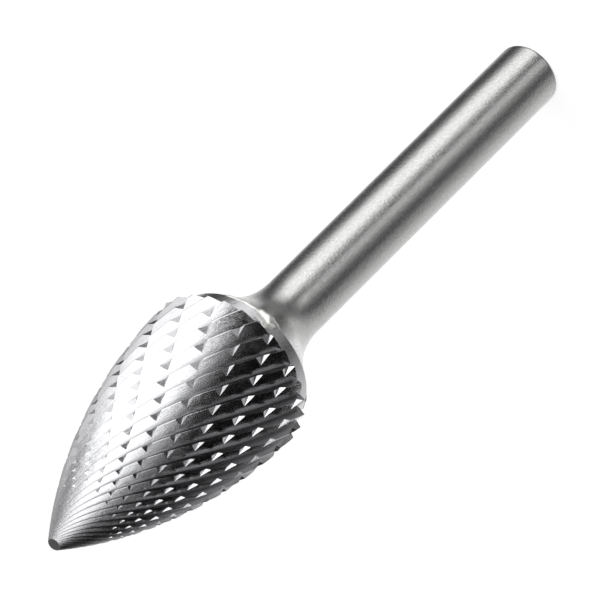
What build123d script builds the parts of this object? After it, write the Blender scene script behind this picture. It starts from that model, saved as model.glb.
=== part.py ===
from build123d import *

import os
from math import asin, atan, atanh, ceil, cos, degrees, floor, radians, sin, sqrt, tan, tanh

# A rotary carbide burr: a double-cut, pointed-tree head of tungsten carbide, brazed end to end
# to a plain steel shank with a flared neck.
#
# The burr stands on the end of its shank. The origin is the centre of that end, +Z runs up the
# axis to the point, and one tooth's cutting edge leaves the widest section at +X. Heights
# written as "below the point" are measured down the axis from the point. Sizes are in
# millimetres and degrees.

# ---- Driving dimensions ------------------------------------------------------------------

overall_length = 75.0

# Shank
shank_diameter = 6.0
shank_end_chamfer = 0.25
neck_length = 8.2  # axial length of the flare between the shank and the joint
flare_angle = 36.0  # half angle of the cone the flare ends in
joint_step = 0.32  # the steel stands back this far from the carbide's rim, all round
braze_thickness = 0.15

# Head
head_length = 28.4  # from the point to the brazed back face
head_diameter = 16.0
ogive_length = 27.0  # from the point to the widest section
point_flat_diameter = 1.24
cut_length = 26.55  # from the point to the back ends of the teeth
shoulder_length = 0.35  # axial length of the steep face behind the teeth
collar_drop = 0.03  # the untoothed collar starts this far under the roots of the flutes
head_back_diameter = 13.9

# Flutes: the first cut, right-handed
flute_count = 29
flute_helix = 23.0
flute_depth = 0.7  # at the widest section
flute_face_angle = 0.95  # angle about the axis that a tooth's cutting face takes up

# Chip breakers: the second cut, left-handed V grooves across the crests
breaker_count = 16
breaker_helix = 25.0
breaker_depth = 0.36  # at the widest section
breaker_front_width = 0.81  # from the bottom of the groove to its edge on the point's side
breaker_back_width = 0.32  # and to its edge on the shank's side
breaker_phase = 5.2  # angle from the first crest to the first groove, at the widest section
breaker_smallest_diameter = 6.1  # the head carries no breakers where it is thinner than this

# ---- Worked out from them ----------------------------------------------------------------

shank_radius = shank_diameter / 2
head_radius = head_diameter / 2
point_flat_radius = point_flat_diameter / 2
head_back_radius = head_back_diameter / 2
joint_radius = head_back_radius - joint_step

back_face_height = overall_length - head_length
joint_height = back_face_height - braze_thickness
flare_start_height = joint_height - neck_length

# The flare is an arc tangent to the shank, and a cone tangent to the arc and ending at the joint.
flare_rise = joint_radius - shank_radius
flare_sin = sin(radians(flare_angle))
flare_cos = cos(radians(flare_angle))
flare_arc_radius = (neck_length * flare_sin - flare_rise * flare_cos) / (1 - flare_cos)
flare_arc_end = (
    shank_radius + flare_arc_radius * (1 - flare_cos),
    flare_start_height + flare_arc_radius * flare_sin,
)

# The head's outline is one arc, tangent to its widest section and ending at the point's flat.
ogive_rise = head_radius - point_flat_radius
ogive_radius = (ogive_length**2 + ogive_rise**2) / (2 * ogive_rise)
ogive_offset = ogive_radius - head_radius  # from the axis to the arc's centre, across it

flute_pitch = 360 / flute_count
breaker_pitch = 360 / breaker_count
flute_slope = tan(radians(flute_helix))
breaker_slope = tan(radians(breaker_helix))
root_share = 1 - flute_depth / head_radius

# A spiral of constant helix angle turns by its slope times the "travel": the meridian length
# of the head from its widest section, each bit of it divided by the radius it lies at.
travel_rate = sqrt(ogive_radius**2 - ogive_offset**2) / (2 * ogive_radius)
travel_ratio = sqrt((ogive_radius + ogive_offset) / (ogive_radius - ogive_offset))


def arc_angle(depth):
    """Angle of the outline's tangent to the axis, at a depth below the point."""
    return asin(max(ogive_length - depth, 0) / ogive_radius)


def outline_radius(depth):
    return ogive_radius * cos(arc_angle(depth)) - ogive_offset


def travel_at(depth):
    """Travel from the widest section to a depth below the point, in radians."""
    if depth > ogive_length:
        return (ogive_length - depth) / head_radius
    return atanh(travel_ratio * tan(arc_angle(depth) / 2)) / travel_rate


def depth_at(travel):
    """The depth below the point at which a spiral has that travel."""
    if travel < 0:
        return ogive_length - head_radius * travel
    angle = 2 * atan(tanh(travel * travel_rate) / travel_ratio)
    return ogive_length - ogive_radius * sin(angle)


def on_outline(depth, angle, share=1.0):
    """The point at that angle about the axis, at a share of the outline's radius."""
    radius = share * outline_radius(depth)
    return Vector(radius, 0, overall_length - depth).rotate(Axis.Z, angle)


# ---- Fluted blank ------------------------------------------------------------------------

# Each tooth has a crest spiral and a root spiral. A ruled face from a crest to its own root is
# the cutting face, and one from there to the next crest is the back of the next tooth. Two
# flat stars close the ends.

stations = 12
back_travel = travel_at(head_length)
point_travel = travel_at(0)
travels = [
    back_travel + (point_travel - back_travel) * step / stations
    for step in range(stations + 1)
]


def flute_edge(start_angle, share):
    points = [
        on_outline(depth_at(travel), start_angle + degrees(travel) * flute_slope, share)
        for travel in travels
    ]
    return Edge.make_spline(points)


def end_star(edges, end):
    """The flat face on the ends of the spirals: end is 0 at the back and 1 at the point."""
    return Face(Wire.make_polygon([edge.position_at(end) for edge in edges], close=True))


spirals = []
for tooth in range(flute_count):
    crest_angle = tooth * flute_pitch
    spirals.append(flute_edge(crest_angle, 1.0))
    spirals.append(flute_edge(crest_angle + flute_face_angle, root_share))

flanks = [
    Face.make_surface_from_curves(spiral, spirals[(place + 1) % len(spirals)])
    for place, spiral in enumerate(spirals)
]
fluted_blank = Solid(Shell(flanks + [end_star(spirals, 0), end_star(spirals, 1)]))

# ---- Chip-breaker cutters ----------------------------------------------------------------

# One V-shaped cutter for each place where a groove crosses a crest. It follows the groove from
# the flute in front of the crest to the back of the tooth, and shrinks with the head.

crest_spacing = (
    head_radius
    * radians(flute_pitch)
    / (sin(radians(breaker_helix)) + flute_slope * cos(radians(breaker_helix)))
)  # from one crest to the next along a groove, at the widest section
cutter_length = crest_spacing
cutter_lead = 0.25 * crest_spacing  # the part of it that lies in front of the crest
cutter_overhang = 0.8  # share of the groove's depth by which a cutter stands out of the head


def breaker_cutter(depth, angle):
    scale = outline_radius(depth) / head_radius
    tilt = degrees(arc_angle(depth))
    to_point = Vector(0, 0, 1).rotate(Axis.Y, -tilt).rotate(Axis.Z, angle)
    sideways = Vector(0, 1, 0).rotate(Axis.Z, angle)
    lean = radians(breaker_helix)
    along = to_point * cos(lean) - sideways * sin(lean)
    across = to_point * sin(lean) + sideways * cos(lean)
    start = on_outline(depth, angle) - along * cutter_lead * scale
    top = 1 + cutter_overhang
    section = Plane(start, x_dir=across, z_dir=along) * Polygon(
        (0, breaker_depth * scale),
        (breaker_front_width * top * scale, -breaker_depth * cutter_overhang * scale),
        (-breaker_back_width * top * scale, -breaker_depth * cutter_overhang * scale),
        align=None,
    )
    return extrude(section, amount=cutter_length * scale)


smallest_radius = breaker_smallest_diameter / 2
last_angle = asin(
    sqrt(1 - ((smallest_radius + ogive_offset) / ogive_radius) ** 2)
)  # the outline's tangent where the head gets down to that radius
first_travel = travel_at(cut_length)
last_travel = atanh(travel_ratio * tan(last_angle / 2)) / travel_rate
closing_slope = flute_slope + breaker_slope

breaker_cutters = []
for tooth in range(flute_count):
    crest_angle = tooth * flute_pitch
    gap = crest_angle - breaker_phase
    first_groove = ceil((gap + degrees(first_travel) * closing_slope) / breaker_pitch)
    last_groove = floor((gap + degrees(last_travel) * closing_slope) / breaker_pitch)
    for groove in range(first_groove, last_groove + 1):
        travel = radians(groove * breaker_pitch - gap) / closing_slope
        crossing_angle = crest_angle + degrees(travel) * flute_slope
        breaker_cutters.append(breaker_cutter(depth_at(travel), crossing_angle))

# ---- Carbide head ------------------------------------------------------------------------

shoulder_height = overall_length - cut_length
collar_height = shoulder_height - shoulder_length
collar_radius = head_radius * root_share - collar_drop
trim_radius = head_radius + 1.0  # outside everything
shoulder_tilt = (head_radius - collar_radius) / shoulder_length
collar_tilt = (collar_radius - head_back_radius) / (collar_height - back_face_height)
trim_rise = (trim_radius - head_radius) / shoulder_tilt
trim_fall = 0.5

with BuildPart() as carbide_head:
    add(fluted_blank)
    with BuildSketch(Plane.XZ):
        with BuildLine():
            Polyline(
                (trim_radius, shoulder_height + trim_rise),
                (collar_radius, collar_height),
                (head_back_radius, back_face_height),
                (head_back_radius - trim_fall * collar_tilt, back_face_height - trim_fall),
                (trim_radius, back_face_height - trim_fall),
                close=True,
            )
        make_face()
    revolve(axis=Axis.Z, mode=Mode.SUBTRACT)
    add(breaker_cutters, mode=Mode.SUBTRACT)

# ---- Steel shank -------------------------------------------------------------------------

with BuildPart() as steel_shank:
    with BuildSketch(Plane.XZ):
        with BuildLine():
            Polyline(
                (0, joint_height),
                (0, 0),
                (shank_radius - shank_end_chamfer, 0),
                (shank_radius, shank_end_chamfer),
                (shank_radius, flare_start_height),
            )
            TangentArc(
                (shank_radius, flare_start_height),
                flare_arc_end,
                tangent=(0, 1),
            )
            Polyline(flare_arc_end, (joint_radius, joint_height), (0, joint_height))
        make_face()
    revolve(axis=Axis.Z)

# ---- Braze -------------------------------------------------------------------------------

# The braze fills the joint and slopes out from the edge of the steel to the edge of the carbide.

with BuildPart() as braze_joint:
    with BuildSketch(Plane.XZ):
        with BuildLine():
            Polyline(
                (0, joint_height),
                (joint_radius, joint_height),
                (head_back_radius, back_face_height),
                (0, back_face_height),
                close=True,
            )
        make_face()
    revolve(axis=Axis.Z)

# ---- Files -------------------------------------------------------------------------------

carbide_head.part.label = "carbide_head"
steel_shank.part.label = "steel_shank"
braze_joint.part.label = "braze_joint"

os.makedirs("parts", exist_ok=True)
export_step(carbide_head.part, "parts/carbide_head.step")
export_step(steel_shank.part, "parts/steel_shank.step")
export_step(braze_joint.part, "parts/braze_joint.step")
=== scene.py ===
from math import (
    asin, atan, atan2, atanh, ceil, cos, degrees, exp, floor, hypot, pi, radians, sin, sqrt, tan,
    tanh,
)

import bmesh
import bpy
from bpy.props import FloatProperty, FloatVectorProperty, IntProperty, PointerProperty
from bpy.types import Operator, Panel, PropertyGroup
from mathutils import Matrix, Vector, noise


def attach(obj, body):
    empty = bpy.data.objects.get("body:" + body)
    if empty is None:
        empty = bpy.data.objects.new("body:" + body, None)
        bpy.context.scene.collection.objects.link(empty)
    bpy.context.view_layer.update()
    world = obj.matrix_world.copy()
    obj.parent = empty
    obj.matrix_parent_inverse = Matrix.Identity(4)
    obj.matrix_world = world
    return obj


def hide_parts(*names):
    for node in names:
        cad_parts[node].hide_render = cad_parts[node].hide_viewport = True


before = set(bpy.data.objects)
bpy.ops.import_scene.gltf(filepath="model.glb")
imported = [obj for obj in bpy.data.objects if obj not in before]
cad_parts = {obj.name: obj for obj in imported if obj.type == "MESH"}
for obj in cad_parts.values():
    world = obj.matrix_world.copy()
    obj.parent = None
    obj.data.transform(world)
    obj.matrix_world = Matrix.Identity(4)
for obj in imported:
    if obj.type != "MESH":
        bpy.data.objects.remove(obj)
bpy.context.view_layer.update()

bl_info = {
    "name": "Carbide burr",
    "version": (1, 0, 0),
    "blender": (4, 5, 0),
    "location": "3D View > Sidebar > Burr",
    "description": "Builds a double-cut pointed-tree carbide burr, brazed to its steel shank",
    "category": "Add Mesh",
}

MM = 0.001
MICRON = 0.000001
SAME_PLACE = 0.2 * MICRON  # vertices closer than this are merged


# ---- Colours and nodes -----------------------------------------------------------------------


def linear(hex_colour):
    """Turns an sRGB hex colour into the linear red, green and blue that Blender works in."""
    values = [int(hex_colour[place : place + 2], 16) / 255 for place in (1, 3, 5)]
    return tuple(
        value / 12.92 if value <= 0.04045 else ((value + 0.055) / 1.055) ** 2.4
        for value in values
    )


def add_node(tree, kind, inputs=None, **settings):
    """Adds a node. Its inputs take either a value or another node's output to link from."""
    node = tree.nodes.new(kind)
    for name, value in settings.items():
        setattr(node, name, value)
    for name, value in (inputs or {}).items():
        if isinstance(value, bpy.types.NodeSocket):
            tree.links.new(value, node.inputs[name])
        else:
            node.inputs[name].default_value = value
    return node


def new_material(name):
    material = bpy.data.materials.new(name)
    material.use_nodes = True
    material.node_tree.nodes.clear()
    return material, material.node_tree


# ---- Sizes and colours that a user would change ----------------------------------------------


class BurrHeadSizes(PropertyGroup):
    overall_length: FloatProperty(
        name="Overall length", description="From the shank's end to the point",
        default=75 * MM, unit="LENGTH",
    )
    length: FloatProperty(
        name="Head length", description="From the point to the brazed back face",
        default=28.4 * MM, unit="LENGTH",
    )
    diameter: FloatProperty(
        name="Head diameter", description="Over the crests, at the widest section",
        default=16 * MM, unit="LENGTH",
    )
    ogive_length: FloatProperty(
        name="Ogive length", description="From the point to the widest section",
        default=27 * MM, unit="LENGTH",
    )
    point_flat: FloatProperty(
        name="Point flat", description="Diameter of the flat at the point",
        default=1.24 * MM, unit="LENGTH",
    )
    cut_length: FloatProperty(
        name="Length of cut", description="From the point to the back ends of the teeth",
        default=26.55 * MM, unit="LENGTH",
    )
    shoulder_length: FloatProperty(
        name="Shoulder length", description="Axial length of the steep face behind the teeth",
        default=0.35 * MM, unit="LENGTH",
    )
    collar_diameter: FloatProperty(
        name="Collar diameter", description="Of the untoothed collar, at its front",
        default=14.54 * MM, unit="LENGTH",
    )
    back_diameter: FloatProperty(
        name="Back diameter", description="Of the head's back face",
        default=13.9 * MM, unit="LENGTH",
    )


class BurrToothSizes(PropertyGroup):
    count: IntProperty(name="Flutes", description="Number of flutes", default=29, min=8)
    helix: FloatProperty(
        name="Flute helix", description="Angle of the flutes to the axis",
        default=radians(23), subtype="ANGLE",
    )
    depth: FloatProperty(
        name="Flute depth", description="At the widest section",
        default=0.7 * MM, unit="LENGTH",
    )
    face_angle: FloatProperty(
        name="Face angle", description="Turn about the axis that a cutting face takes up",
        default=radians(0.95), subtype="ANGLE",
    )
    land: FloatProperty(
        name="Land", description="Width of the narrow ground strip behind each crest",
        default=0.08 * MM, unit="LENGTH",
    )
    breaker_count: IntProperty(
        name="Chip breakers", description="Number of grooves of the second cut",
        default=16, min=4,
    )
    breaker_helix: FloatProperty(
        name="Breaker helix", description="Angle of the chip breakers to the axis",
        default=radians(25), subtype="ANGLE",
    )
    breaker_depth: FloatProperty(
        name="Breaker depth", description="At the widest section",
        default=0.36 * MM, unit="LENGTH",
    )
    breaker_front: FloatProperty(
        name="Breaker front", description="Width of a breaker's face on the point's side",
        default=0.81 * MM, unit="LENGTH",
    )
    breaker_back: FloatProperty(
        name="Breaker back", description="Width of a breaker's face on the shank's side",
        default=0.32 * MM, unit="LENGTH",
    )
    breaker_phase: FloatProperty(
        name="Breaker phase", description="From the first crest to the first breaker",
        default=radians(5.2), subtype="ANGLE",
    )
    breaker_smallest: FloatProperty(
        name="Smallest cut", description="The head has no breakers where it is thinner than this",
        default=6.1 * MM, unit="LENGTH",
    )


class BurrShankSizes(PropertyGroup):
    diameter: FloatProperty(
        name="Shank diameter", description="Of the plain round shank",
        default=6 * MM, unit="LENGTH",
    )
    end_rounding: FloatProperty(
        name="End rounding", description="Radius of the corner round the shank's free end",
        default=0.42 * MM, unit="LENGTH",
    )
    neck_length: FloatProperty(
        name="Neck length", description="Axial length of the flare below the joint",
        default=8.2 * MM, unit="LENGTH",
    )
    flare_angle: FloatProperty(
        name="Flare angle", description="Half angle of the cone that the flare ends in",
        default=radians(36), subtype="ANGLE",
    )
    joint_step: FloatProperty(
        name="Joint step", description="How far the steel stands back from the carbide's rim",
        default=0.32 * MM, unit="LENGTH",
    )
    braze_thickness: FloatProperty(
        name="Braze thickness", description="Of the braze between the steel and the carbide",
        default=0.15 * MM, unit="LENGTH",
    )
    bead: FloatProperty(
        name="Braze bead", description="How far the braze has run out of the joint, at the most",
        default=0.62 * MM, unit="LENGTH",
    )


class BurrColours(PropertyGroup):
    carbide: FloatVectorProperty(
        name="Carbide", description="Colour of the ground carbide",
        default=linear("#C8C8CA"), subtype="COLOR", min=0, max=1,
    )
    steel: FloatVectorProperty(
        name="Steel", description="Colour of the ground shank",
        default=linear("#CECECD"), subtype="COLOR", min=0, max=1,
    )
    braze: FloatVectorProperty(
        name="Braze", description="Colour of the silver braze",
        default=linear("#ECECE8"), subtype="COLOR", min=0, max=1,
    )
    floor: FloatVectorProperty(
        name="Floor", description="Colour of the floor under the burr",
        default=linear("#F7F7F7"), subtype="COLOR", min=0, max=1,
    )


# ---- Shapes ----------------------------------------------------------------------------------


class HeadShape:
    """The head's outline, one arc from its widest section to the point's flat, and its spirals.

    A depth is measured down the axis from the point. A spiral of constant helix angle turns by
    its slope times the travel: the outline's length from the widest section, each bit of it
    divided by the radius it lies at.
    """

    def __init__(self, head):
        self.top = head.overall_length
        self.radius = head.diameter / 2
        self.length = head.ogive_length
        rise = self.radius - head.point_flat / 2
        self.arc = (self.length**2 + rise**2) / (2 * rise)
        self.offset = self.arc - self.radius
        self.rate = sqrt(self.arc**2 - self.offset**2) / (2 * self.arc)
        self.ratio = sqrt((self.arc + self.offset) / (self.arc - self.offset))

    def tilt(self, depth):
        return asin(max(self.length - depth, 0) / self.arc)

    def radius_at(self, depth):
        return self.arc * cos(self.tilt(depth)) - self.offset

    def travel_at(self, depth):
        if depth > self.length:
            return (self.length - depth) / self.radius
        return atanh(self.ratio * tan(self.tilt(depth) / 2)) / self.rate

    def depth_at(self, travel):
        if travel < 0:
            return self.length - self.radius * travel
        return self.length - self.arc * sin(2 * atan(tanh(travel * self.rate) / self.ratio))

    def travel_where(self, radius):
        return self.travel_at(self.length - sqrt(self.arc**2 - (radius + self.offset) ** 2))


def tooth_section(radius, tooth):
    """One tooth's section at the widest place, as angles past its crest and shares of the radius.

    It runs down the cutting face, round the small fillet at the root, up the slightly hollow
    back of the next tooth and onto that tooth's land.
    """
    pitch = 2 * pi / tooth.count
    root = radius - tooth.depth
    land_angle = tooth.land / radius
    land_fall = 0.14 * tooth.land  # how far the land drops behind its crest
    back = pitch - land_angle - tooth.face_angle
    rise = tooth.depth - land_fall
    fillet_start = 0.85  # share of the cutting face that lies above the fillet
    fillet_end = 0.035  # share of the back that the fillet takes up
    fillet_lift = 15 * MICRON
    # How far up the back, as a share, and how deep the hollow is there, in microns.
    hollows = ((0.12, 4), (0.32, 12), (0.54, 14), (0.76, 10), (1.0, 0))

    def on_back(share, hollow):
        return (
            tooth.face_angle + share * back,
            (root + share * rise - hollow) / radius,
        )

    return [
        (0.0, 1.0),
        (fillet_start * tooth.face_angle, (radius - fillet_start * tooth.depth) / radius),
        (tooth.face_angle + fillet_end * back, (root + fillet_lift) / radius),
        *(on_back(share, hollow * MICRON) for share, hollow in hollows),
    ]


def extrude_ring(bm, edges):
    """Extrudes a closed ring of edges, and returns the new ring's edges and vertices."""
    made = bmesh.ops.extrude_edge_only(bm, edges=edges)["geom"]
    verts = [item for item in made if isinstance(item, bmesh.types.BMVert)]
    inside = set(verts)
    ring = [
        item
        for item in made
        if isinstance(item, bmesh.types.BMEdge) and inside.issuperset(item.verts)
    ]
    return ring, verts


def spin_profile(bm, points, steps):
    """Turns a profile of (radius, height) points into a closed round body."""
    verts = [bm.verts.new((radius, 0, height)) for radius, height in points]
    edges = [bm.edges.new(pair) for pair in zip(verts, verts[1:])]
    bmesh.ops.spin(
        bm, geom=verts + edges, axis=(0, 0, 1), cent=(0, 0, 0), angle=2 * pi, steps=steps,
        use_merge=True, use_duplicate=False,
    )
    close_up(bm)


def close_up(bm):
    """Merges doubles, fills what is left open and turns every face outward."""
    bmesh.ops.remove_doubles(bm, verts=bm.verts, dist=SAME_PLACE)
    bmesh.ops.dissolve_degenerate(bm, edges=bm.edges, dist=SAME_PLACE)
    open_edges = [edge for edge in bm.edges if edge.is_boundary]
    if open_edges:
        bmesh.ops.holes_fill(bm, edges=open_edges, sides=0)
    bmesh.ops.recalc_face_normals(bm, faces=bm.faces)


def shade(bm, sharp_angle):
    """Smooth faces, with the edges that turn by more than the angle kept sharp."""
    for face in bm.faces:
        face.smooth = True
    for edge in bm.edges:
        edge.smooth = not edge.is_manifold or edge.calc_face_angle(0) < sharp_angle


def lay_out(bm, place):
    """Writes a UV map in metres round the piece and metres along it.

    For a point, place gives its turn about the axis, the radius to measure that turn at, and how
    far along the piece it lies.
    """
    layer = bm.loops.layers.uv.verify()
    for face in bm.faces:
        spots = [place(loop.vert.co) for loop in face.loops]
        first = spots[0][0]
        for loop, (turn, girth, along) in zip(face.loops, spots):
            while turn - first > pi:
                turn -= 2 * pi
            while first - turn > pi:
                turn += 2 * pi
            loop[layer].uv = (turn * girth, along)


def make_piece(bm, name, material, node):
    """Turns the bmesh into a finished piece that stands for a CAD node."""
    mesh = bpy.data.meshes.new(name)
    bm.to_mesh(mesh)
    bm.free()
    mesh.materials.append(material)
    piece = bpy.data.objects.new(name, mesh)
    bpy.context.scene.collection.objects.link(piece)
    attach(piece, "root")
    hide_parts(node)
    return piece


# ---- Materials -------------------------------------------------------------------------------


def ground_carbide(colour):
    """Sintered tungsten carbide, its teeth ground with a diamond wheel.

    To the eye: a bright, cool grey metal. The wheel leaves streaks along the flutes that blur
    reflections one way, and the sintered grain shows as a faint mottle and as bright specks
    where a face reflects something dark.
    """
    material, tree = new_material("Ground_tungsten_carbide")
    uv = add_node(tree, "ShaderNodeTexCoord").outputs["UV"]
    place = add_node(tree, "ShaderNodeTexCoord").outputs["Object"]

    # Wheel marks 0.2 mm apart and about 1.2 mm long. The real ones are three times finer.
    marks_along = add_node(
        tree, "ShaderNodeMapping", {"Vector": uv, "Scale": (1 / (0.2 * MM), 1 / (1.2 * MM), 1)}
    )
    marks = add_node(
        tree, "ShaderNodeTexNoise",
        {"Vector": marks_along.outputs["Vector"], "Scale": 1.0, "Detail": 3.0, "Roughness": 0.6},
    )
    # The grain itself is a thousandth of a millimetre. It is drawn at 0.12 mm, where it shows.
    grain = add_node(
        tree, "ShaderNodeTexNoise",
        {"Vector": place, "Scale": 1 / (0.12 * MM), "Detail": 4.0, "Roughness": 0.65},
    )
    # Patches of oil film and handling, about 1.5 mm across.
    patches = add_node(
        tree, "ShaderNodeTexNoise",
        {"Vector": place, "Scale": 1 / (1.5 * MM), "Detail": 3.0, "Roughness": 0.55},
    )
    tone = add_node(
        tree, "ShaderNodeMapRange",
        {"Value": grain.outputs["Fac"], "From Min": 0.3, "From Max": 0.7,
         "To Min": 0.86, "To Max": 1.06},
    )
    # Painted shade: the colour darkens towards the bottoms of the flutes, where shade falls.
    rise = add_node(tree, "ShaderNodeAttribute", attribute_name="Rise_in_flute")
    painted_flute_shade = add_node(
        tree, "ShaderNodeMapRange",
        {"Value": rise.outputs["Fac"], "From Min": 0.0, "From Max": 0.42,
         "To Min": 0.33, "To Max": 1.0},
    )
    # The grain's tone times the painted shade in the flutes.
    grain_tone_and_painted_shade = add_node(
        tree, "ShaderNodeMath",
        {0: tone.outputs["Result"], 1: painted_flute_shade.outputs["Result"]}, operation="MULTIPLY",
    )
    base = add_node(
        tree, "ShaderNodeMix",
        {"Factor": 1.0, "A": (*colour, 1.0), "B": grain_tone_and_painted_shade.outputs["Value"]},
        data_type="RGBA", blend_type="MULTIPLY",
    )
    worn = add_node(
        tree, "ShaderNodeMapRange",
        {"Value": patches.outputs["Fac"], "From Min": 0.35, "From Max": 0.7,
         "To Min": 0.1, "To Max": 0.19},
    )
    mark_roughness = 0.1  # the most that the wheel marks add
    streaked = add_node(
        tree, "ShaderNodeMath",
        {0: marks.outputs["Fac"], 1: mark_roughness, 2: worn.outputs["Result"]},
        operation="MULTIPLY_ADD",
    )
    mark_bump = add_node(
        tree, "ShaderNodeBump",
        {"Height": marks.outputs["Fac"], "Strength": 1.0, "Distance": 18 * MICRON},
    )
    grain_bump = add_node(
        tree, "ShaderNodeBump",
        {"Height": grain.outputs["Fac"], "Strength": 1.0, "Distance": 9 * MICRON,
         "Normal": mark_bump.outputs["Normal"]},
    )
    shader = add_node(
        tree, "ShaderNodeBsdfPrincipled",
        {"Base Color": base.outputs["Result"], "Metallic": 1.0,
         "Roughness": streaked.outputs["Value"], "Normal": grain_bump.outputs["Normal"]},
    )
    add_node(tree, "ShaderNodeOutputMaterial", {"Surface": shader.outputs["BSDF"]})
    return material


def ground_steel(colour):
    """Hardened tool steel, centreless ground.

    To the eye: a satin grey whose reflections run along the shank as soft bands, with fine
    specks along their edges where the grinding has torn the surface.
    """
    material, tree = new_material("Centreless_ground_steel")
    uv = add_node(tree, "ShaderNodeTexCoord").outputs["UV"]
    place = add_node(tree, "ShaderNodeTexCoord").outputs["Object"]

    # Grinding scratches run round the shank: 0.16 mm apart along it, 0.45 mm long. The real
    # ones are some five times finer.
    round_it = add_node(
        tree, "ShaderNodeMapping", {"Vector": uv, "Scale": (1 / (0.45 * MM), 1 / (0.16 * MM), 1)}
    )
    scratches = add_node(
        tree, "ShaderNodeTexNoise",
        {"Vector": round_it.outputs["Vector"], "Scale": 1.0, "Detail": 3.0, "Roughness": 0.6},
    )
    specks = add_node(
        tree, "ShaderNodeTexNoise",
        {"Vector": place, "Scale": 1 / (0.16 * MM), "Detail": 3.0, "Roughness": 0.6},
    )
    waves = add_node(
        tree, "ShaderNodeTexNoise",
        {"Vector": place, "Scale": 1 / (2.5 * MM), "Detail": 2.0, "Roughness": 0.5},
    )
    tone = add_node(
        tree, "ShaderNodeMapRange",
        {"Value": specks.outputs["Fac"], "From Min": 0.3, "From Max": 0.7,
         "To Min": 0.84, "To Max": 1.08},
    )
    base = add_node(
        tree, "ShaderNodeMix",
        {"Factor": 1.0, "A": (*colour, 1.0), "B": tone.outputs["Result"]},
        data_type="RGBA", blend_type="MULTIPLY",
    )
    satin = add_node(
        tree, "ShaderNodeMapRange",
        {"Value": waves.outputs["Fac"], "From Min": 0.35, "From Max": 0.65,
         "To Min": 0.17, "To Max": 0.22},
    )
    scratch_bump = add_node(
        tree, "ShaderNodeBump",
        {"Height": scratches.outputs["Fac"], "Strength": 1.0, "Distance": 22 * MICRON},
    )
    speck_bump = add_node(
        tree, "ShaderNodeBump",
        {"Height": specks.outputs["Fac"], "Strength": 1.0, "Distance": 14 * MICRON,
         "Normal": scratch_bump.outputs["Normal"]},
    )
    shader = add_node(
        tree, "ShaderNodeBsdfPrincipled",
        {"Base Color": base.outputs["Result"], "Metallic": 1.0,
         "Roughness": satin.outputs["Result"], "Normal": speck_bump.outputs["Normal"]},
    )
    add_node(tree, "ShaderNodeOutputMaterial", {"Surface": shader.outputs["BSDF"]})
    return material


def silver_braze(colour):
    """Silver brazing alloy, as it flowed and froze round the joint.

    To the eye: a brighter, slightly warm metal with a lumpy, half-smooth skin.
    """
    material, tree = new_material("Silver_braze_as_flowed")
    place = add_node(tree, "ShaderNodeTexCoord").outputs["Object"]
    # Ripples of the frozen skin, 0.25 mm apart.
    skin = add_node(
        tree, "ShaderNodeTexNoise",
        {"Vector": place, "Scale": 1 / (0.25 * MM), "Detail": 3.0, "Roughness": 0.55},
    )
    dull = add_node(
        tree, "ShaderNodeMapRange",
        {"Value": skin.outputs["Fac"], "From Min": 0.3, "From Max": 0.7,
         "To Min": 0.4, "To Max": 0.56},
    )
    bump = add_node(
        tree, "ShaderNodeBump",
        {"Height": skin.outputs["Fac"], "Strength": 0.6, "Distance": 14 * MICRON},
    )
    shader = add_node(
        tree, "ShaderNodeBsdfPrincipled",
        {"Base Color": (*colour, 1.0), "Metallic": 1.0, "Roughness": dull.outputs["Result"],
         "Normal": bump.outputs["Normal"]},
    )
    add_node(tree, "ShaderNodeOutputMaterial", {"Surface": shader.outputs["BSDF"]})
    return material


# ---- Carbide head ----------------------------------------------------------------------------


def cut_teeth(bm, head, tooth, shape):
    """The fluted head without its chip breakers: a ring in the teeth's shape, carried down."""
    section = tooth_section(shape.radius, tooth)
    pitch = 2 * pi / tooth.count
    corners = [
        (place * pitch + angle, share)
        for place in range(tooth.count)
        for angle, share in section
    ]
    slope = tan(tooth.helix)
    bmesh.ops.create_circle(bm, segments=len(corners), radius=1.0)
    bm.verts.ensure_lookup_table()
    for vert, (angle, share) in zip(bm.verts, corners):
        vert.co = (share * cos(angle), share * sin(angle), 0)

    def carried(depth):
        radius = shape.radius_at(depth)
        turn = shape.travel_at(depth) * slope
        return (
            Matrix.Translation((0, 0, shape.top - depth))
            @ Matrix.Rotation(turn, 4, "Z")
            @ Matrix.Diagonal((radius, radius, 1, 1))
        )

    # The rings lie closer together towards the point, where the spirals turn faster.
    steps = 112
    crowding = 1.35
    depths = [head.cut_length * (step / steps) ** crowding for step in range(steps + 1)]
    edges = list(bm.edges)
    verts = list(bm.verts)
    at = Matrix.Identity(4)
    for step, depth in enumerate(depths):
        if step:
            edges, verts = extrude_ring(bm, edges)
        to = carried(depth)
        bmesh.ops.transform(bm, matrix=to @ at.inverted(), verts=verts)
        at = to

    # The last ring slides down its spirals onto the steep shoulder. It turns a little less than
    # they do, or the cutting faces would lean in under their crests.
    share_of_spiral = 0.9
    collar = head.collar_diameter / 2
    turn = share_of_spiral * slope / shape.radius
    for vert in verts:
        reach = hypot(vert.co.x, vert.co.y)
        drop = head.shoulder_length * (shape.radius - reach) / (shape.radius - collar)
        vert.co = Matrix.Rotation(-drop * turn, 3, "Z") @ vert.co
        vert.co.z -= drop

    back = head.back_diameter / 2
    # The corner round the back face is broken: how high, and how far past the edge and inside it.
    rim = 0.05 * MM
    rim_out, rim_in = 0.2 * rim, 0.6 * rim
    collar_height = shape.top - head.cut_length - head.shoulder_length
    back_height = shape.top - head.length
    for radius, height in (
        (collar, collar_height),
        ((collar + back) / 2, (collar_height + back_height) / 2),
        (back + rim_out, back_height + rim),
        (back - rim_in, back_height),
    ):
        edges, verts = extrude_ring(bm, edges)
        for vert in verts:
            share = radius / hypot(vert.co.x, vert.co.y)
            vert.co = (vert.co.x * share, vert.co.y * share, height)
    close_up(bm)


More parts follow.
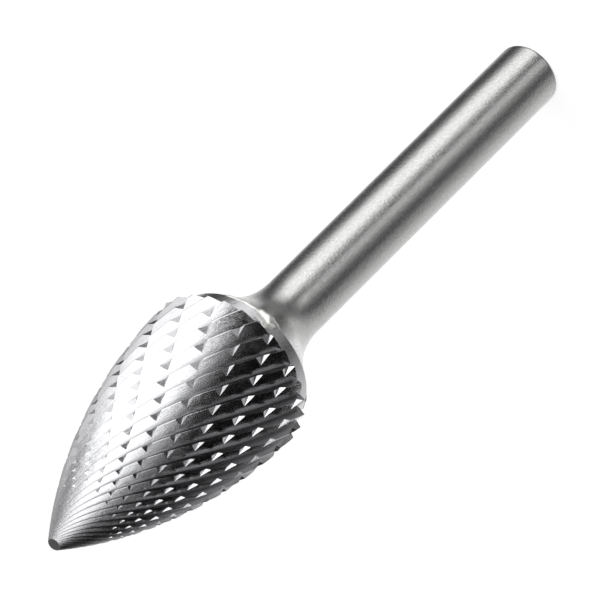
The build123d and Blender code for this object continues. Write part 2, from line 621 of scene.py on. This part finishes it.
def breaker_cutters(bm, head, tooth, shape):
    """A V-shaped wedge for each place where a chip breaker crosses a tooth's crest."""
    pitch = 2 * pi / tooth.count
    slope = tan(tooth.helix)
    closing = slope + tan(tooth.breaker_helix)
    spacing = shape.radius * pitch / (
        sin(tooth.breaker_helix) + slope * cos(tooth.breaker_helix)
    )
    lead = 0.25 * spacing  # the part of a wedge that lies in front of its crest
    length = 0.8 * spacing
    over = 0.8  # share of its depth by which a wedge stands out of the head
    shrinks_below = 0.62  # share of the head's radius below which the breakers shrink faster
    shrink_power = 0.7
    corners = [
        bm.verts.new((0, tooth.breaker_depth, -lead)),
        bm.verts.new((tooth.breaker_front * (1 + over), -tooth.breaker_depth * over, -lead)),
        bm.verts.new((-tooth.breaker_back * (1 + over), -tooth.breaker_depth * over, -lead)),
    ]
    wedge = bmesh.ops.extrude_face_region(bm, geom=[bm.faces.new(corners)])["geom"]
    far = [item for item in wedge if isinstance(item, bmesh.types.BMVert)]
    bmesh.ops.translate(bm, vec=(0, 0, length), verts=far)
    bmesh.ops.recalc_face_normals(bm, faces=bm.faces)
    pattern = list(bm.verts) + list(bm.edges) + list(bm.faces)

    first = shape.travel_at(head.cut_length)
    last = shape.travel_where(tooth.breaker_smallest / 2)
    gap_between = 2 * pi / tooth.breaker_count
    for place in range(tooth.count):
        gap = place * pitch - tooth.breaker_phase
        start = ceil((gap + first * closing) / gap_between)
        stop = floor((gap + last * closing) / gap_between)
        for groove in range(start, stop + 1):
            travel = (groove * gap_between - gap) / closing
            depth = shape.depth_at(travel)
            angle = place * pitch + travel * slope
            tilt = shape.tilt(depth)
            turn = Matrix.Rotation(angle, 3, "Z")
            to_point = turn @ Vector((-sin(tilt), 0, cos(tilt)))
            sideways = turn @ Vector((0, 1, 0))
            lean = tooth.breaker_helix
            along = to_point * cos(lean) - sideways * sin(lean)
            across = to_point * sin(lean) + sideways * cos(lean)
            inward = along.cross(across)
            radius = shape.radius_at(depth)
            here = turn @ Vector((radius, 0, 0)) + Vector((0, 0, shape.top - depth))
            # The breakers shrink with the head, and faster than it does near the point.
            share = radius / shape.radius
            scale = share * min(1, share / shrinks_below) ** shrink_power
            axes = Matrix((across, inward, along)).transposed().to_4x4()
            copies = bmesh.ops.duplicate(bm, geom=pattern)["geom"]
            bmesh.ops.transform(
                bm, matrix=Matrix.Translation(here) @ axes @ Matrix.Scale(scale, 4),
                verts=[item for item in copies if isinstance(item, bmesh.types.BMVert)],
            )
    bmesh.ops.delete(bm, geom=[item for item in pattern if isinstance(item, bmesh.types.BMVert)])


def cut_away(piece, cutters):
    """Cuts one mesh object out of another, and keeps the result as the piece's own mesh."""
    cut = piece.modifiers.new("cut", "BOOLEAN")
    cut.operation = "DIFFERENCE"
    cut.solver = "EXACT"
    cut.object = cutters
    graph = bpy.context.evaluated_depsgraph_get()
    mesh = bpy.data.meshes.new_from_object(piece.evaluated_get(graph))
    bpy.data.objects.remove(piece)
    bpy.data.objects.remove(cutters)
    return mesh


def loose_object(bm, name):
    mesh = bpy.data.meshes.new(name)
    bm.to_mesh(mesh)
    bm.free()
    thing = bpy.data.objects.new(name, mesh)
    bpy.context.scene.collection.objects.link(thing)
    return thing


class BURR_OT_head(Operator):
    """Makes the carbide head with its double-cut teeth"""

    bl_idname = "burr.head"
    bl_label = "Carbide head"

    def execute(self, context):
        head = context.scene.burr_head
        tooth = context.scene.burr_teeth
        shape = HeadShape(head)
        blank = bmesh.new()
        cut_teeth(blank, head, tooth, shape)
        wedges = bmesh.new()
        breaker_cutters(wedges, head, tooth, shape)
        mesh = cut_away(
            loose_object(blank, "fluted_blank"), loose_object(wedges, "breaker_wedges")
        )
        bm = bmesh.new()
        bm.from_mesh(mesh)
        bpy.data.meshes.remove(mesh)
        close_up(bm)
        shade(bm, sharp_angle=radians(12))
        slope = tan(tooth.helix)

        def place(point):
            depth = min(max(shape.top - point.z, 0), head.length)
            travel = shape.travel_at(depth)
            turn = atan2(point.y, point.x) - travel * slope
            return turn, shape.radius, travel * shape.radius / cos(tooth.helix)

        lay_out(bm, place)
        # How far each vertex lies up from the roots (0) to the crests (1), for the painted shade
        # in the flutes.
        root_share = 1 - tooth.depth / shape.radius
        tolerance = 10 * MICRON
        rise = bm.verts.layers.float.new("Rise_in_flute")
        for vert in bm.verts:
            depth = min(max(shape.top - vert.co.z, 0), head.cut_length)
            share = hypot(vert.co.x, vert.co.y) / shape.radius_at(depth)
            toothed = shape.top - vert.co.z < head.cut_length + tolerance
            vert[rise] = (share - root_share) / (1 - root_share) if toothed else 1.0
        piece = make_piece(
            bm, "Carbide_head", ground_carbide(context.scene.burr_colours.carbide), "carbide_head"
        )
        weighted = piece.modifiers.new("Even shading", "WEIGHTED_NORMAL")
        weighted.keep_sharp = True
        return {"FINISHED"}


# ---- Steel shank -----------------------------------------------------------------------------


def flare(shank, joint_radius, joint_height):
    """The flare's arc, from the shank up to where its cone starts, as radii and heights."""
    rise = joint_radius - shank.diameter / 2
    angle = shank.flare_angle
    arc = (shank.neck_length * sin(angle) - rise * cos(angle)) / (1 - cos(angle))
    foot = joint_height - shank.neck_length
    steps = 14
    return [
        (shank.diameter / 2 + arc * (1 - cos(turn)), foot + arc * sin(turn))
        for turn in (angle * step / steps for step in range(steps + 1))
    ]


def joint_of(scene):
    """The radius of the steel at the joint, and the height of its flat end."""
    head, shank = scene.burr_head, scene.burr_shank
    return (
        head.back_diameter / 2 - shank.joint_step,
        head.overall_length - head.length - shank.braze_thickness,
    )


class BURR_OT_shank(Operator):
    """Makes the steel shank with its flared neck"""

    bl_idname = "burr.shank"
    bl_label = "Steel shank"

    def execute(self, context):
        shank = context.scene.burr_shank
        joint_radius, joint_height = joint_of(context.scene)
        radius, rounding = shank.diameter / 2, shank.end_rounding
        corner_steps = 5
        corner = [
            (radius - rounding * (1 - sin(turn)), rounding * (1 - cos(turn)))
            for turn in (radians(90) * step / corner_steps for step in range(corner_steps + 1))
        ]
        # Rings along the plain part keep its faces short.
        plain = [(radius, height * MM) for height in (8, 16, 24, 32)]
        bm = bmesh.new()
        spin_profile(
            bm,
            [
                (0, 0), *corner, *plain, *flare(shank, joint_radius, joint_height),
                (joint_radius, joint_height), (0, joint_height),
            ],
            steps=160,
        )
        shade(bm, sharp_angle=radians(30))
        lay_out(bm, lambda point: (atan2(point.y, point.x), radius, point.z))
        make_piece(
            bm, "Steel_shank", ground_steel(context.scene.burr_colours.steel), "steel_shank"
        )
        return {"FINISHED"}


# ---- Braze -----------------------------------------------------------------------------------


# The edge of the braze, in millimetres out and up: first from the edge of the steel, then from
# the edge of the carbide's back face.
EDGE_AT_STEEL = ((-0.6, 0), (-0.1, -0.01), (0, -0.005), (0.1, 0.03), (0.22, 0.08))
EDGE_AT_CARBIDE = ((-0.03, -0.005), (-0.03, 0))

# Where the alloy ran out of the joint: at which turn, how far to each side, both in degrees, and
# which share of the largest bead.
RUNS = (
    (35.5, 8.5, 1.0),
    (58, 14, 0.26),
    (196, 22, 0.25),
    (262, 12, 0.15),
    (318, 9, 0.13),
)


def braze_disc(bm, joint_radius, joint_height, rim_radius, rim_height):
    """The braze between the two flat faces, with its edge sloping out from steel to carbide."""
    edge = [
        (joint_radius + out * MM, joint_height + up * MM) for out, up in EDGE_AT_STEEL
    ] + [
        (rim_radius + out * MM, rim_height + up * MM) for out, up in EDGE_AT_CARBIDE
    ]
    spin_profile(bm, [(0, joint_height), *edge, (0, rim_height)], steps=144)


def bead_size(shank, angle, ripple):
    """Size of the bead at that angle about the axis: small, and more where the alloy ran."""
    thin = 0.09 * MM  # where no alloy ran
    size = thin * (1 + 0.5 * ripple)
    for middle, spread, share in RUNS:
        off = (degrees(angle) - middle + 180) % 360 - 180
        size += shank.bead * share * exp(-((off / spread) ** 4)) * (1 + 0.4 * ripple)
    return size


def braze_bead(bm, shank, middle):
    """A closed, lumpy ring of braze that runs round the joint through the point given."""
    up_flare = Vector((sin(shank.flare_angle), 0, cos(shank.flare_angle)))
    outward = Vector((cos(shank.flare_angle), 0, -sin(shank.flare_angle)))
    steps, sides = 240, 12
    ripples = 9  # how closely the ripples and lumps follow each other round the joint
    ripple_place = Vector((0.2, 5.5, 1.3))  # the part of the noise that the ripples come from
    lumpiness, lump_spread = 0.22, 0.8
    # In sizes of the bead: how far up the flare its middle lies, and how thick it is.
    rise, thickness = 0.5, 0.7
    rings = []
    for step in range(steps):
        angle = 2 * pi * step / steps
        direction = Vector((cos(angle), sin(angle), 0))
        size = bead_size(shank, angle, noise.noise(direction * ripples + ripple_place))
        ring = []
        for side in range(sides):
            turn = 2 * pi * side / sides
            lump = 1 + lumpiness * noise.noise(
                direction * ripples + Vector((cos(turn), sin(turn), 2.0)) * lump_spread
            )
            offset = up_flare * (cos(turn) + rise) + outward * thickness * sin(turn)
            ring.append(
                bm.verts.new(Matrix.Rotation(angle, 3, "Z") @ (middle + offset * size * lump))
            )
        rings.append(ring)
    for step, ring in enumerate(rings):
        before = rings[step - 1]
        for side in range(sides):
            bm.faces.new((before[side - 1], before[side], ring[side], ring[side - 1]))
    bmesh.ops.recalc_face_normals(bm, faces=bm.faces)


class BURR_OT_braze(Operator):
    """Makes the braze in the joint, with the uneven bead that has run out of it"""

    bl_idname = "burr.braze"
    bl_label = "Braze"

    def execute(self, context):
        scene = context.scene
        head, shank = scene.burr_head, scene.burr_shank
        joint_radius, joint_height = joint_of(scene)
        rim_radius = head.back_diameter / 2
        rim_height = head.overall_length - head.length
        bm = bmesh.new()
        braze_disc(bm, joint_radius, joint_height, rim_radius, rim_height)
        braze_bead(
            bm, shank,
            Vector(((joint_radius + rim_radius) / 2, 0, (joint_height + rim_height) / 2)),
        )
        shade(bm, sharp_angle=radians(70))
        make_piece(
            bm, "Braze_joint", silver_braze(scene.burr_colours.braze), "braze_joint"
        )
        return {"FINISHED"}


# ---- Stage -----------------------------------------------------------------------------------

# The camera stands at a slight turn from +X, above the burr, and is rolled so that the point
# hangs to the lower left.
CAMERA_TURN = radians(28.7)
CAMERA_RISE = radians(39.1015)
CAMERA_ROLL = radians(-134.7661)
CAMERA_REACH = 974.8815 * MM
CAMERA_AIM = Vector((0.1606 * MM, 0.1226 * MM, 37.2542 * MM))
CAMERA_LENS = 673.1255  # millimetres, on a sensor 36 mm wide
SENSOR_WIDTH = 36

# The cards and soft boxes of the light tent that the metal mirrors. Each runs between two turns
# about the axis, counted from the camera, and two rises above the horizon, in degrees, and has
# the brightness that it shows. The first ones hang in front of the later ones.
TENT_RADIUS = 450 * MM
TENT_SPACING = 6 * MM  # from one card to the next behind it
TENT_CENTRE = 45 * MM  # height of the point that the cards hang round
TENT = (
    ("black_flag", -158, -36, -30, 5, 0.004),
    ("black_flag_front", -36, 7, -30, -9, 0.01),
    ("black_flag_low", 7, 15, -30, -19, 0.02),
    ("grey_edge", -36, -17, -9, 6, 0.4),
    ("key_light", -17, 60, -9, 18, 2.3),
    ("key_light_left", -38, -17, 6, 18, 2.0),
    ("key_light_low", 7, 62, -30, -9, 2.1),
    ("fill_light", 60, 84, -20, 6, 1.9),
    ("fill_light_side", 84, 112, -20, 6, 1.15),
    ("back_light", 112, 180, -30, 6, 0.65),
    ("fill_light_low", 62, 112, -30, -20, 1.1),
    ("gap_card", 62, 84, 6, 18, 0.26),
    ("side_card_right", 84, 180, 6, 18, 0.48),
    ("side_card_left", -180, -158, -30, 18, 0.3),
    ("slope_card", -158, -112, 5, 18, 0.33),
    ("slope_card_dark", -112, -62, 5, 18, 0.2),
    ("slope_card_front", -62, -38, 5, 18, 0.62),
    ("top_light", -60, 20, 18, 34, 2.2),
    ("top_light_left", -100, -60, 18, 34, 1.4),
    ("top_light_right", 20, 52, 18, 34, 0.75),
    ("top_card", 52, 180, 18, 34, 0.42),
    ("top_card_left", -180, -100, 18, 34, 0.42),
    ("flat_card", 150, 210, 32, 47, 0.14),
    ("roof_front", -100, 0, 34, 60, 0.76),
    ("roof_left", -180, -100, 34, 89, 0.42),
    ("roof_right", 0, 180, 34, 89, 0.48),
    ("roof_top", -100, 0, 60, 89, 0.6),
    ("low_light_left", -180, -150, -66, -30, 1.1),
    ("low_card_left", -150, -110, -66, -30, 0.8),
    ("low_grey_card", -110, -90, -66, -30, 0.68),
    ("low_dark_grey_card", -90, -64, -66, -30, 0.4),
    ("low_dark_card", -64, -33, -66, -30, 0.13),
    ("low_step", -33, -18, -66, -30, 0.34),
    ("low_light_front", -18, 6, -60, -30, 0.75),
    ("low_strip", 7, 19, -60, -30, 0.14),
    ("low_card_front", 20, 34, -60, -30, 0.5),
    ("low_light", 34, 77, -66, -30, 1.45),
    ("low_light_end", 77, 88, -66, -30, 0.8),
    ("low_grey_card_right", 88, 101, -66, -30, 0.3),
    ("low_dark_card_right", 101, 146, -66, -30, 0.1),
    ("low_card_right", 146, 165, -60, -30, 0.7),
    ("low_light_right", 165, 180, -60, -30, 1.1),
    ("ground_light", -180, -66, -89, -60, 0.7),
    ("ground_card", -66, 60, -89, -60, 0.17),
    ("ground_card_right", 60, 180, -89, -60, 0.25),
)


def tent_panel(name, turns, rises, radius, brightness):
    """A curved card of the light tent. Only mirrored rays see it."""
    bm = bmesh.new()
    low, high = (radians(value) for value in rises)
    start, end = (CAMERA_TURN + radians(value) for value in turns)
    steps_up, steps_round = 6, 16
    verts = [
        bm.verts.new((
            radius * cos(rise) * cos(start), radius * cos(rise) * sin(start), radius * sin(rise),
        ))
        for rise in (low + (high - low) * step / steps_up for step in range(steps_up + 1))
    ]
    edges = [bm.edges.new(pair) for pair in zip(verts, verts[1:])]
    bmesh.ops.spin(
        bm, geom=verts + edges, axis=(0, 0, 1), cent=(0, 0, 0), angle=end - start,
        steps=steps_round, use_duplicate=False,
    )
    bmesh.ops.translate(bm, vec=(0, 0, TENT_CENTRE), verts=bm.verts)
    material, tree = new_material("Tent_" + name)
    glow = add_node(
        tree, "ShaderNodeEmission", {"Color": (1, 1, 1, 1), "Strength": brightness}
    )
    add_node(tree, "ShaderNodeOutputMaterial", {"Surface": glow.outputs["Emission"]})
    panel = loose_object(bm, "tent_" + name)
    panel.data.materials.append(material)
    panel.visible_camera = False
    panel.visible_diffuse = False
    panel.visible_transmission = False
    panel.visible_volume_scatter = False
    panel.visible_shadow = False


def matt_white_board(colour):
    """Matt white board, under the burr and behind it.

    To the eye: an even, bright white. It shows the camera four fifths of its white by itself, so
    that it stays bright and the shadow on it soft.
    """
    material, tree = new_material("Matt_white_board")
    own_share = 0.8
    paper = add_node(tree, "ShaderNodeBsdfDiffuse", {"Color": (*colour, 1.0)})
    ray = add_node(tree, "ShaderNodeLightPath")
    share = add_node(
        tree, "ShaderNodeMath",
        {0: ray.outputs["Is Camera Ray"], 1: own_share}, operation="MULTIPLY",
    )
    glow = add_node(
        tree, "ShaderNodeEmission",
        {"Color": (*colour, 1.0), "Strength": share.outputs["Value"]},
    )
    both = add_node(
        tree, "ShaderNodeAddShader", {0: paper.outputs["BSDF"], 1: glow.outputs["Emission"]}
    )
    add_node(tree, "ShaderNodeOutputMaterial", {"Surface": both.outputs["Shader"]})
    return material


def add_floor(colour):
    """The board that the burr's shadow falls on. The burr doesn't mirror it."""
    bm = bmesh.new()
    half_width = 4.0
    bmesh.ops.create_grid(bm, x_segments=1, y_segments=1, size=half_width)
    ground = loose_object(bm, "floor")
    ground.data.materials.append(matt_white_board(colour))
    ground.visible_glossy = False


def white_room():
    """A world that the camera and the metal see as white, and that lights the floor weakly."""
    world = bpy.data.worlds.new("White_room")
    world.use_nodes = True
    tree = world.node_tree
    tree.nodes.clear()
    weak, full = 0.25, 1.0
    ray = add_node(tree, "ShaderNodeLightPath")
    seen = add_node(
        tree, "ShaderNodeMath",
        {0: ray.outputs["Is Camera Ray"], 1: ray.outputs["Is Glossy Ray"]},
        operation="MAXIMUM",
    )
    strength = add_node(
        tree, "ShaderNodeMapRange",
        {"Value": seen.outputs["Value"], "To Min": weak, "To Max": full},
    )
    sky = add_node(
        tree, "ShaderNodeBackground",
        {"Color": (1, 1, 1, 1), "Strength": strength.outputs["Result"]},
    )
    add_node(tree, "ShaderNodeOutputWorld", {"Surface": sky.outputs["Background"]})
    return world


def add_lamp(scene):
    """A wide, soft lamp high above the burr, which casts its shadow on the floor."""
    lamp_data = bpy.data.lights.new("soft_lamp", "AREA")
    lamp_data.shape = "DISK"
    lamp_data.size = 1.2
    lamp_data.energy = 2.0
    lamp = bpy.data.objects.new("soft_lamp", lamp_data)
    lamp.location = (-0.4, 0.5, 1.4)
    lamp.rotation_euler = Vector(lamp.location).to_track_quat("Z", "Y").to_euler()
    lamp.visible_glossy = False
    scene.collection.objects.link(lamp)


def add_camera(scene):
    """A long lens, turned and rolled so that the burr lies across the picture."""
    back = Vector((
        cos(CAMERA_RISE) * cos(CAMERA_TURN), cos(CAMERA_RISE) * sin(CAMERA_TURN),
        sin(CAMERA_RISE),
    ))
    camera_data = bpy.data.cameras.new("camera")
    camera_data.lens = CAMERA_LENS
    camera_data.sensor_width = SENSOR_WIDTH
    camera_data.clip_start = 0.02
    camera_data.clip_end = 20
    camera = bpy.data.objects.new("camera", camera_data)
    turned = back.to_track_quat("Z", "Y").to_matrix() @ Matrix.Rotation(CAMERA_ROLL, 3, "Z")
    camera.matrix_world = (
        Matrix.Translation(CAMERA_AIM + back * CAMERA_REACH) @ turned.to_4x4()
    )
    scene.collection.objects.link(camera)
    scene.camera = camera


class BURR_OT_stage(Operator):
    """Sets the floor, the light tent, the lamp, the world and the camera"""

    bl_idname = "burr.stage"
    bl_label = "Stage"

    def execute(self, context):
        scene = context.scene
        scene.view_settings.view_transform = "Standard"
        add_floor(scene.burr_colours.floor)
        for place, (name, turn0, turn1, rise0, rise1, brightness) in enumerate(TENT):
            tent_panel(
                name, (turn0, turn1), (rise0, rise1), TENT_RADIUS + TENT_SPACING * place,
                brightness,
            )
        scene.world = white_room()
        add_lamp(scene)
        add_camera(scene)
        return {"FINISHED"}


# ---- Sidebar ---------------------------------------------------------------------------------


class VIEW3D_PT_burr(Panel):
    """The burr's sizes and the buttons that build it"""

    bl_label = "Carbide burr"
    bl_space_type = "VIEW_3D"
    bl_region_type = "UI"
    bl_category = "Burr"

    def draw(self, context):
        for group in (
            context.scene.burr_head, context.scene.burr_teeth, context.scene.burr_shank,
            context.scene.burr_colours,
        ):
            box = self.layout.box()
            for name in group.__annotations__:
                box.prop(group, name)
        for operator in OPERATORS:
            self.layout.operator(operator.bl_idname)


GROUPS = {
    "burr_head": BurrHeadSizes,
    "burr_teeth": BurrToothSizes,
    "burr_shank": BurrShankSizes,
    "burr_colours": BurrColours,
}
OPERATORS = (BURR_OT_stage, BURR_OT_head, BURR_OT_shank, BURR_OT_braze)


def register():
    for kind in (*GROUPS.values(), *OPERATORS, VIEW3D_PT_burr):
        bpy.utils.register_class(kind)
    for name, kind in GROUPS.items():
        setattr(bpy.types.Scene, name, PointerProperty(type=kind))


def unregister():
    for name in GROUPS:
        delattr(bpy.types.Scene, name)
    for kind in (VIEW3D_PT_burr, *reversed(OPERATORS), *reversed(list(GROUPS.values()))):
        bpy.utils.unregister_class(kind)


def main():
    register()
    bpy.ops.burr.stage()
    bpy.ops.burr.head()
    bpy.ops.burr.shank()
    bpy.ops.burr.braze()


if __name__ == "__main__":
    main()
